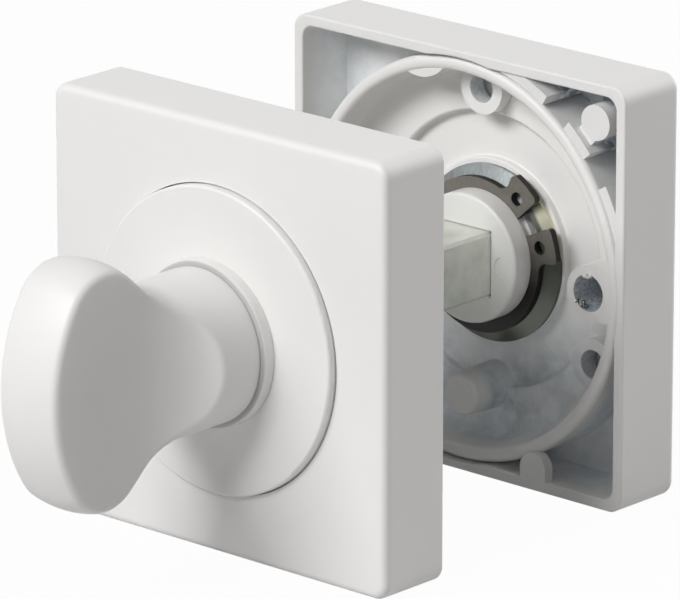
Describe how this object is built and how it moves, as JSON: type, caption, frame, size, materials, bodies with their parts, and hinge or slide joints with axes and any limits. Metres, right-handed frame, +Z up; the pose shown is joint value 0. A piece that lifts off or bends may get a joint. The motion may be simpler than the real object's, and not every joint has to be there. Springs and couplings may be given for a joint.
{
  "type": "bathroom thumb turn lock",
  "caption": "Square white door roses on a square spindle: a flared flat-sided thumb turn on the room side works the lock, and a coin slot on the far side releases it.",
  "frame": {"origin": "on the turning axis, at the door face of the inside rose", "axes": "+Y runs through the door from the thumb turn to the outside release, +Z is up, and +X is to the right as seen from the room with the thumb turn"},
  "size_m": [0.052, 0.0868, 0.052],
  "materials": {
    "white_coat": "satin white powder coat on zinc die castings",
    "zinc_plate": "zinc plated steel",
    "clip_steel": "phosphated spring steel"
  },
  "bodies": {
    "inside_half": {"inside_cover": "white_coat", "inside_base": "white_coat", "inside_washer": "zinc_plate"},
    "thumb_turn": {"thumb_turn": "white_coat", "inside_circlip": "clip_steel"},
    "outside_half": {"outside_cover": "white_coat", "outside_base": "white_coat", "outside_washer": "zinc_plate"},
    "release": {"release_turn": "white_coat", "outside_circlip": "clip_steel", "spindle": "zinc_plate"}
  },
  "joints": [
    {"name": "thumb_turn_hinge", "type": "hinge", "parent": "inside_half", "child": "thumb_turn", "pos_m": [0, 0, 0], "axis": [0, 1, 0], "range_deg": [0, 90]},
    {"name": "door_thickness_slide", "type": "slide", "parent": "inside_half", "child": "outside_half", "axis": [0, 1, 0], "range_m": [0, 0.012]},
    {"name": "release_hinge", "type": "hinge", "parent": "outside_half", "child": "release", "pos_m": [0, 0.0315, 0], "axis": [0, 1, 0], "range_deg": [0, 90]}
  ],
  "couplings": [
    {"joint": "release_hinge", "follows": "thumb_turn_hinge", "ratio": 1}
  ]
}
